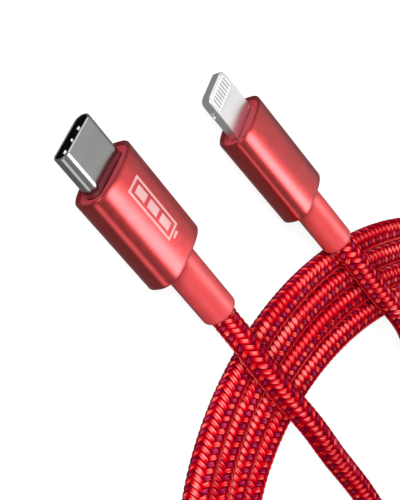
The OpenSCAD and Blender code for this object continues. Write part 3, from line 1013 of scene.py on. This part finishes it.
def make_battery_mark():
    """Generic battery sign on the wide face: four strokes, a cap and three bars."""
    x0, x1 = SIGN_X
    half = SIGN_HALF
    inner = half - SIGN_LINE
    strokes = [
        rounded_rectangle(x0, x1, inner, half, SIGN_CORNER),
        rounded_rectangle(x0, x1, -half, -inner, SIGN_CORNER),
        rounded_rectangle(x0, x0 + SIGN_LINE, -inner - SIGN_OVERLAP, inner + SIGN_OVERLAP, STROKE_CORNER),
        rounded_rectangle(x1 - SIGN_LINE, x1, -inner - SIGN_OVERLAP, inner + SIGN_OVERLAP, STROKE_CORNER),
        rounded_rectangle(x1 + CAP_X[0], x1 + CAP_X[1], -CAP_HALF, CAP_HALF, SIGN_CORNER),
    ]
    for i in range(BARS):
        start = x0 + i * BAR_PITCH
        strokes.append(
            rounded_rectangle(start + BAR_X[0], start + BAR_X[1], -BAR_HALF, BAR_HALF, SIGN_CORNER)
        )
    low, high = USB_T / 2 - PRINT_SUNK, USB_T / 2 + PRINT_PROUD
    piece = outline_plate(USB, "usb_c_battery_print", strokes, low, high, oval_top)
    finish_piece(piece, PRINT, ("usb_c_battery_mark",))


make_shell()
make_insulator()
make_springs()
make_battery_mark()

# ---------------------------------------------------------------- tab plug's nose

TAB_CORNER = 1.0
TAB_REAR = 2.4
TAB_EDGE = 0.09
WINDOW_X = (-7.05, -4.4)
WINDOW_HALF = 2.9
WINDOW_R = 0.6
CARRIER_GAP = 0.02
# Notch in each edge: place, radius, depth and half height
NOTCH_X = -4.6
NOTCH_R = 0.95
NOTCH_DEPTH = 0.25
NOTCH_HALF = 0.45
# Steps along the side behind the notch, along each arc and along half of the tip
SIDE_STEPS = 8
ARC_STEPS = 12
TIP_STEPS = 6
TAB_CONTACTS = 8
TAB_CONTACT_PITCH = 0.65
TAB_CONTACT_X = (-6.6, -4.85)
TAB_CONTACT_HALF = 0.125
TAB_CONTACT_CORNER = 0.06
TAB_CONTACT_SUNK = 0.1
TAB_CONTACT_PROUD = 0.015


def tab_outline(inset, notched):
    """Tab seen from above, plain or through the notch in each edge; always as many points."""
    half = TAB_W / 2 - inset
    tip = -TAB_OUT + inset
    r = TAB_CORNER - inset
    reach = NOTCH_R + inset
    centre_y = TAB_W / 2 + NOTCH_R - NOTCH_DEPTH
    span = math.acos((centre_y - half) / reach)
    first = NOTCH_X + reach * math.sin(span)
    points = [(TAB_REAR - (TAB_REAR - first) * i / SIDE_STEPS, half) for i in range(SIDE_STEPS)]
    for i in range(ARC_STEPS + 1):
        a = -math.pi / 2 + span - 2 * span * i / ARC_STEPS
        y = centre_y + reach * math.sin(a) if notched else half
        points.append((NOTCH_X + reach * math.cos(a), y))
    for i in range(ARC_STEPS + 1):
        a = math.pi / 2 + math.pi / 2 * i / ARC_STEPS
        points.append((tip + r + r * math.cos(a), half - r + r * math.sin(a)))
    points += [(tip, (half - r) * (1 - i / TIP_STEPS)) for i in range(1, TIP_STEPS)]
    mirrored = [(x, -y) for x, y in points[::-1]]
    return points + [(tip, 0)] + mirrored


def tab_window(inset):
    """Outline of the window, drawn in by inset."""
    x0, x1 = WINDOW_X
    half = WINDOW_HALF - inset
    return rounded_rectangle(x0 + inset, x1 - inset, -half, half, WINDOW_R - inset, steps=8)


def flat_faces(outer, hole, first_outer, first_hole, up):
    """Triangles of the flat between an outline and a hole in it."""
    loops = [[Vector((x, y, 0)) for x, y in outer], [Vector((x, y, 0)) for x, y in hole]]
    count = len(outer)
    faces = []
    for tri in tessellate_polygon(loops):
        ids = [first_outer + i if i < count else first_hole + i - count for i in tri]
        faces.append(ids if up else ids[::-1])
    return faces


def make_tab_frame():
    """Tab frame: a bar with chamfered edges, a window for the contact carrier and two notches."""
    half_t = TAB_T / 2
    levels = [(-half_t, TAB_EDGE, False), (-half_t + TAB_EDGE, 0, False)]
    levels += [(-NOTCH_HALF, 0, False), (-NOTCH_HALF, 0, True)]
    levels += [(-z, inset, notched) for z, inset, notched in levels[::-1]]
    outlines = [tab_outline(inset, notched) for _, inset, notched in levels]
    verts = [(x, y, z) for (z, _, _), outline in zip(levels, outlines) for x, y in outline]
    count = len(outlines[0])
    faces = ring_walls(0, count, len(levels))
    hole = tab_window(0)
    low = len(verts)
    high = low + len(hole)
    verts += [(x, y, z) for z in (-half_t, half_t) for x, y in hole]
    faces += ring_walls(low, len(hole), 2)
    faces += flat_faces(outlines[0], hole, 0, low, False)
    faces += flat_faces(outlines[-1], hole, (len(levels) - 1) * count, high, True)
    piece = mesh_piece(TAB, "tab_frame_body", verts, faces)
    piece.data.shade_smooth()
    sharpen(piece, 40)
    finish_piece(piece, TAB_METAL, ("tab_frame",))


def make_tab_carrier():
    """White moulding that holds the contacts, flush with both faces."""
    piece = outline_plate(TAB, "tab_carrier_body", [tab_window(CARRIER_GAP)], -TAB_T / 2, TAB_T / 2)
    soften(piece, width_mm=0.03, segments=1)
    finish_piece(piece, WHITE, ("tab_contact_carrier",))


def make_tab_contacts(side, name, node):
    """Eight slim contacts on one face, standing a few hundredths proud."""
    outlines = []
    for i in range(TAB_CONTACTS):
        y = (i - (TAB_CONTACTS - 1) / 2) * TAB_CONTACT_PITCH
        low_y, high_y = y - TAB_CONTACT_HALF, y + TAB_CONTACT_HALF
        outlines.append(rounded_rectangle(*TAB_CONTACT_X, low_y, high_y, TAB_CONTACT_CORNER, steps=3))
    sunk = side * (TAB_T / 2 - TAB_CONTACT_SUNK)
    proud = side * (TAB_T / 2 + TAB_CONTACT_PROUD)
    piece = outline_plate(TAB, name, outlines, min(sunk, proud), max(sunk, proud))
    finish_piece(piece, CONTACT, (node,))


make_tab_frame()
make_tab_carrier()
make_tab_contacts(1, "tab_contacts_top", "tab_upper_contacts")
make_tab_contacts(-1, "tab_contacts_bottom", "tab_lower_contacts")

# ---------------------------------------------------------------- floor, world and lights

FLOOR_HALF = 3.0
FLOOR_GLOW = 0.84
# Where the softboxes point: between the two plugs
LIGHT_AIM = Vector((0.01, 0, 0.003))


def grey(value):
    return value, value, value


def make_floor():
    """A pale floor that glows, so that it stays as even as the photo's background."""
    mesh = bpy.data.meshes.new("floor")
    h = FLOOR_HALF
    mesh.from_pydata([(-h, -h, 0), (h, -h, 0), (h, h, 0), (-h, h, 0)], [], [(0, 1, 2, 3)])
    floor = new_object("floor", mesh)
    material, tree, shader = nodes_of("floor_white")
    set_sockets(shader, roughness=0.8, specular=0.1)
    shader.inputs["Emission Color"].default_value = (*grey(1), 1)
    shader.inputs["Emission Strength"].default_value = FLOOR_GLOW
    tone = ramp(tree, noise(tree, 30, 2.0), [(0.3, grey(0.30)), (0.7, grey(0.32))])
    tree.links.new(tone, shader.inputs["Base Color"])
    mesh.materials.append(material)
    floor.visible_glossy = False
    floor.visible_diffuse = False


def make_world():
    """Even dim surroundings, a little brighter overhead, seen in the glossy surfaces only."""
    world = bpy.data.worlds.new("studio")
    world.use_nodes = True
    tree = world.node_tree
    coords = tree.nodes.new("ShaderNodeTexCoord")
    split = tree.nodes.new("ShaderNodeSeparateXYZ")
    tree.links.new(coords.outputs["Generated"], split.inputs["Vector"])
    tone = ramp(tree, split.outputs["Z"], [(0.0, grey(0.22)), (0.5, grey(0.30)), (1.0, grey(0.4))])
    tree.links.new(tone, tree.nodes["Background"].inputs["Color"])
    world.cycles_visibility.diffuse = False
    scene.world = world


def area_light(name, direction, distance, size, power, gloss=True):
    """A softbox in that direction from the plugs, facing them. It is either seen in the glossy
    surfaces or lights the matt ones."""
    data = bpy.data.lights.new(name, "AREA")
    data.shape = "RECTANGLE"
    data.size, data.size_y = size
    data.energy = power
    light = bpy.data.objects.new(name, data)
    away = Vector(direction).normalized()
    light.location = LIGHT_AIM + away * distance
    light.rotation_euler = away.to_track_quat("Z", "Y").to_euler()
    light.visible_diffuse = not gloss
    light.visible_glossy = gloss
    scene.collection.objects.link(light)


make_floor()
make_world()
area_light("key_strip", (0.48, 0.21, 0.86), 0.7, (0.31, 0.50), 3.0)
area_light("face_card", (0.45, 0.66, 0.60), 1.0, (0.60, 0.60), 0.36)
area_light("side_card", (0.51, -0.85, 0.16), 0.8, (0.60, 0.40), 0.80)
area_light("rim_card", (-0.56, 0.58, 0.58), 0.9, (0.40, 0.40), 0.9)
area_light("front_box", (-0.55, -0.60, 0.60), 0.9, (0.70, 0.70), 4.0)
area_light("front_fill", (-0.61, -0.60, 0.48), 0.9, (0.60, 0.60), 9.0, gloss=False)
area_light("end_fill", (-0.85, -0.10, 0.62), 0.9, (0.60, 0.60), 5.5, gloss=False)
area_light("top_fill", (0.10, 0.10, 1.0), 0.9, (0.90, 0.90), 1.0, gloss=False)
scene.view_settings.view_transform = "Standard"
